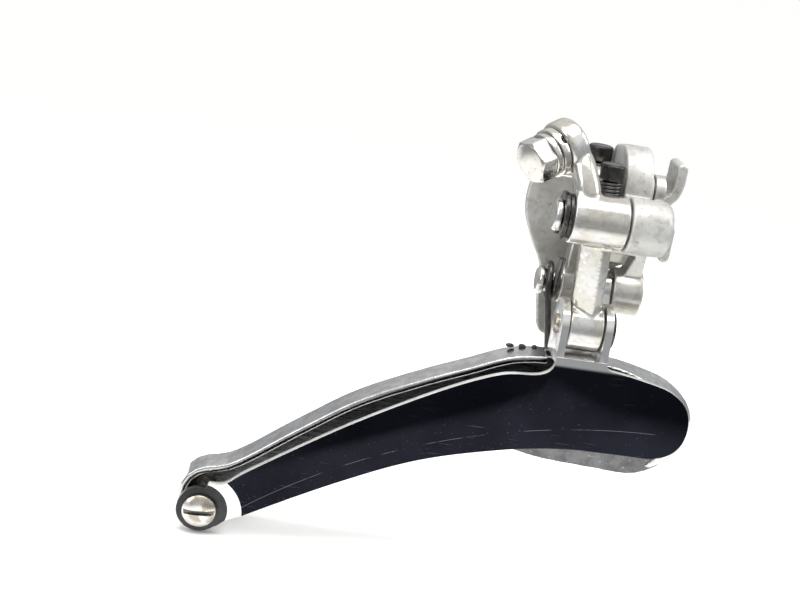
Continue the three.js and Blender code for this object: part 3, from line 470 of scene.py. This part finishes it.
# ---------------------------------------------------------------- cage
# Two pressed steel plates, plated and polished to a mirror. The outer one is flat with a
# bracket folded up at its top; the inner one has a turned rim that closes the nose.
def mirror_steel(name, tone, roughness, wave_mm, mottled=0.25, marks=0.3):
    plate = Finish(name)
    haze = plate.noise(14.0, 3.0)
    lines = (plate.hairlines((0, 24, 0), 0.02) + plate.hairlines((0, -52, 0), 0.0)
             + plate.hairlines((0, 4, 0), 0.03))
    specks = plate.step(plate.noise(0.5, 1.0), 0.70, 0.74)
    mottle = plate.step(plate.noise(2.6, 5.0), 0.36, 0.66)
    wave = plate.noise(9.0, 1.0)
    base = plate.blend(plate.step(haze, 0.3, 0.7), rgb(*[part * 0.85 for part in tone]), rgb(*tone))
    clouded = plate.blend(mottle * mottled, base, rgb(*[part * 0.35 for part in tone]))
    marked = plate.blend((lines + specks) * marks, clouded, rgb(0.62, 0.64, 0.68))
    plate.feed(plate.shader.inputs["Base Color"], marked)
    plate.shader.inputs["Metallic"].default_value = 1.0
    plate.feed(plate.shader.inputs["Roughness"],
               roughness + (haze - 0.5) * 0.05 + mottle * mottled * 0.1 + lines * marks * 0.3)
    plate.feed(plate.shader.inputs["Normal"], plate.bump(wave - lines * 0.01, wave_mm))
    return plate.material


def face_mirror():
    """The outer face: a mirror polish with an almost black base colour, a painted dark reflection
    that makes it look like a mirror in a dark room. It turns bright where the bracket folds up."""
    face = Finish("mirror_steel")
    haze = face.noise(14.0, 3.0)
    lines = face.hairlines((0, 24, 0), 0.02) + face.hairlines((0, -52, 0), 0.0)
    specks = face.step(face.noise(0.5, 1.0), 0.71, 0.76)
    height = face.node("ShaderNodeSeparateXYZ", None, {0: face.place}, 2)
    fold_low, fold_high = -0.0252, -0.0244
    folded = face.step(height, fold_low, fold_high)
    # One long scratch runs with the curve of the lower edge: a thin ring round a far centre.
    ring_centre = (0.0268, 0.0, -0.1762)
    ring_radius = 0.1396
    scratch_core, scratch_edge = 0.00002, 0.00008
    in_plane = face.node("ShaderNodeVectorMath", {"operation": "MULTIPLY"},
                         {0: face.place, 1: (1.0, 0.0, 1.0)}, "Vector")
    radius = face.node("ShaderNodeVectorMath", {"operation": "DISTANCE"},
                       {0: in_plane, 1: ring_centre}, "Value")
    off_scratch = face.node("ShaderNodeMath", {"operation": "ABSOLUTE"},
                            {0: radius - ring_radius})
    broken = face.step(face.noise(5.0, 2.0), 0.42, 0.55)
    long_scratch = face.step(off_scratch, scratch_core, scratch_edge, 1.0, 0.0) * broken
    # painted dark reflection: the face's base colour is near black
    base = face.blend(face.step(haze, 0.3, 0.7), rgb(0.0085, 0.009, 0.013),
                      rgb(0.013, 0.014, 0.020))
    marked = face.blend((lines + specks) * 0.05 + long_scratch * 0.14, base,
                        rgb(0.62, 0.64, 0.68))
    face.feed(face.shader.inputs["Base Color"], face.blend(folded, marked, rgb(0.72, 0.72, 0.70)))
    face.shader.inputs["Metallic"].default_value = 1.0
    face.feed(face.shader.inputs["Roughness"], 0.06 + (haze - 0.5) * 0.04 + lines * 0.1)
    face.feed(face.shader.inputs["Normal"], face.bump(haze - lines * 0.02, 0.02))
    return face.material


def paint_faces(piece, material, wanted):
    """Gives another material to the faces that wanted() picks."""
    piece.data.materials.append(material)
    slot = len(piece.data.materials) - 1
    for face in piece.data.polygons:
        if wanted(face):
            face.material_index = slot


def brushed_steel(name, tone):
    """Dark, dull plating brushed along the plate, for the inner plate's chain side and the pad
    under the tail screw.
    """
    dull = Finish(name)
    grain = dull.noise(0.25, 3.0, (24, 1, 1), (0, 24, 0))
    cloud = dull.noise(5.0, 4.0)
    darker = rgb(*[part * 0.65 for part in tone])
    lighter = rgb(*[min(1.0, part * 1.6) for part in tone])
    base = dull.blend(dull.step(cloud, 0.35, 0.65), darker, rgb(*tone))
    dull.feed(dull.shader.inputs["Base Color"],
              dull.blend(dull.step(grain, 0.5, 0.7) * 0.3, base, lighter))
    dull.shader.inputs["Metallic"].default_value = 1.0
    dull.feed(dull.shader.inputs["Roughness"], 0.30 + (grain - 0.5) * 0.3)
    dull.feed(dull.shader.inputs["Normal"], dull.bump(grain, 0.008))
    return dull.material


face_dark_reflection_steel = face_mirror()
# painted highlight: the outer plate's cut edges and the bracket behind the face get a near-white
# polish, brighter than the rest of the plate
edge_highlight = polished_alloy("cut_edge_highlight", (0.92, 0.92, 0.92), 0.22)
rim_steel = mirror_steel("rim_steel", (0.64, 0.64, 0.635), 0.20, 0.06, mottled=0.35)
nose_steel = mirror_steel("nose_steel", (0.16, 0.16, 0.165), 0.20, 0.10, mottled=0.5)
bracket_steel = mirror_steel("bracket_steel", (0.70, 0.70, 0.68), 0.18, 0.04)
# painted shade: the inner plate's back gets a darker, rougher copy of the rim's polish, so it
# stands apart from the pale backdrop it mirrors
back_shaded_steel = mirror_steel("back_shaded_steel", (0.56, 0.56, 0.555), 0.26, 0.05, mottled=0.2)
dark_steel = brushed_steel("brushed_steel", (0.30, 0.30, 0.305))
pad_steel = brushed_steel("tail_pad_steel", (0.05, 0.05, 0.052))
# painted highlight: the dish round the tail screw gets a near-white polish, a bright crescent
# beside the dark face
dish_highlight_steel = mirror_steel("dish_highlight_steel", (0.85, 0.85, 0.86), 0.12, 0.02)

outer_plate = machined("outer_plate", "outer_plate_pressing", 0.22)
fit(outer_plate, "outer_plate", "cage", face_dark_reflection_steel)
face_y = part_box("outer_plate")[0].y
tail_low, tail_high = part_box("tail_screw")
tail_centre = (tail_low + tail_high) / 2


def from_tail(face):
    return math.hypot(face.center.x - tail_centre.x, face.center.z - tail_centre.z)


bracket_start = face_y + 0.0036     # everything behind this is bracket
dish_radius = 0.0089
pad_radius = 0.0060
pad_edge_radius = 0.0053
# painted highlight: near-white polish on the cut edges and the bracket
paint_faces(outer_plate, edge_highlight, lambda face: abs(face.normal.y) < 0.8
            or face.center.y > bracket_start)
# painted highlight on the dish round the tail screw
paint_faces(outer_plate, dish_highlight_steel, lambda face: from_tail(face) < dish_radius
            and -0.97 < face.normal.y < -0.7)
paint_faces(outer_plate, pad_steel, lambda face: from_tail(face) < pad_edge_radius
            or (from_tail(face) < pad_radius and face.normal.y < -0.9))

tail_screw = bpy.data.objects["tail_screw_finished"]
slot_half = 0.0007                  # half the slot's width, with a little to spare
slot_top = tail_low.y + 0.0006      # the head's flat is nearer than this, the slot's floor is not
slot_end = tail_low.y + 0.0010      # beyond the slot's floor
# painted shade: the slot's walls and floor are painted black, standing in for the shade inside the
# slot
paint_faces(tail_screw, clip_steel, lambda face: abs(face.center.z - tail_centre.z) < slot_half
            and tail_low.y < face.center.y < slot_end
            and (abs(face.normal.z) > 0.9 or (face.normal.y < -0.9 and face.center.y > slot_top)))

inner_plate = cast("inner_plate", "inner_plate_pressing", 0.27, 4)
fit(inner_plate, "inner_plate", "cage", rim_steel)
sheet = 0.0015
flat_depth = 0.0006                 # faces this far from the flat side still belong to it
bulge_depth = 0.0040                # the same for the bulge of the rim, which curls outboard
bulge_x, bulge_z = -0.0080, -0.0415     # the bulge is forward of the one and below the other
inner_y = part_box("inner_plate")[1].y - sheet        # the side that faces the chain
paint_faces(inner_plate, dark_steel, lambda face: face.normal.y < -0.75
            and face.center.y > inner_y - flat_depth
            and (face.center.x < bulge_x or face.center.z > bulge_z))
paint_faces(inner_plate, nose_steel, lambda face: face.normal.y < -0.3
            and face.center.y > inner_y - bulge_depth
            and face.center.x >= bulge_x and face.center.z <= bulge_z)
# painted shade: the back faces get the darker copy
paint_faces(inner_plate, back_shaded_steel, lambda face: face.normal.y > 0.8)

fit(cast("rear_bracket", "rear_bracket_pressing", 0.2, 4), "rear_bracket", "cage",
    bracket_steel)


# ---------------------------------------------------------------- weld beads
# Three small beads of brazing metal, darkened by the heat, lie in the corner where the bracket
# behind the cage meets the top edge of the inner plate.
def bead(name, x, z, width, height):
    """A squashed ball, half sunk in the plate; width and height are shares of its size."""
    bead_radius = 0.0005
    bead_stand = 0.0004
    bpy.ops.object.select_all(action="DESELECT")
    bpy.ops.mesh.primitive_uv_sphere_add(segments=24, ring_count=14, radius=bead_radius,
                                         location=(x, inner_y + bead_stand, z))
    piece = bpy.context.object
    piece.name = name
    piece.scale = (width, 1.1, height)
    bpy.ops.object.transform_apply(location=True, rotation=True, scale=True)
    bpy.ops.object.shade_smooth()
    piece.data.materials.append(clip_steel)
    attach(piece, "cage")


rim_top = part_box("inner_plate")[1].z
bead("bead_left", -0.0066, rim_top - 0.0006, 1.8, 0.9)
bead("bead_middle", -0.0040, rim_top - 0.0004, 1.6, 0.9)
bead("bead_right", -0.0014, rim_top - 0.0002, 1.2, 0.8)


# ---------------------------------------------------------------- return spring
# Black spring wire: one leg stands behind the inner plate, the coil sits round the lower
# inner pin and the other leg presses on the inner arm.
spring_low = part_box("return_spring")[0]
pivot = [Vector(joint["pos_m"]) for joint in frame["joints"] if joint["name"] == "cage_pivot"][0]
spring_wire = 0.00070               # the wire's radius
coil_turns = 1.0
coil_radius = 0.00375
coil_x0 = spring_low.x + spring_wire
coil_pitch = 0.00156
points_per_turn = 40
lower_leg = ((0.0021, 0.0011, 0.0001), (0.0017, 0.0012, 0.0031))    # from the lowest corner
upper_leg = ((0.0, -0.0004, 0.0032), (0.0001, -0.0012, 0.0064))     # from the coil's end


def spring_route():
    """The wire's middle line, from its lower leg, round the coil and up the inner arm."""
    route = [Vector((coil_x0 + x, spring_low.y + y, spring_low.z + z)) for x, y, z in lower_leg]
    steps = round(points_per_turn * coil_turns)
    for step in range(steps + 1):
        angle = math.pi - 2 * math.pi * coil_turns * step / steps
        route.append(Vector((coil_x0 + coil_pitch * coil_turns * step / steps,
                             pivot.y + coil_radius * math.cos(angle),
                             pivot.z + coil_radius * math.sin(angle))))
    coil_end = route[-1]
    return route + [coil_end + Vector(offset) for offset in upper_leg]


spring_curve = bpy.data.curves.new("return_spring_wire", "CURVE")
spring_curve.dimensions = "3D"
spring_curve.bevel_depth = spring_wire
spring_curve.bevel_resolution = 4
spring_curve.use_fill_caps = True
spring_line = spring_curve.splines.new("POLY")
spring_points = spring_route()
spring_line.points.add(len(spring_points) - 1)
for point, place in zip(spring_line.points, spring_points):
    point.co = (*place, 1.0)
return_spring = bpy.data.objects.new("return_spring_wire", spring_curve)
bpy.context.scene.collection.objects.link(return_spring)
only(return_spring)
bpy.ops.object.convert(target="MESH")
return_spring = bpy.context.object
bpy.ops.object.shade_smooth_by_angle(angle=math.radians(40))
return_spring.data.materials.append(clip_steel)
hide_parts("return_spring")
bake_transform(return_spring)
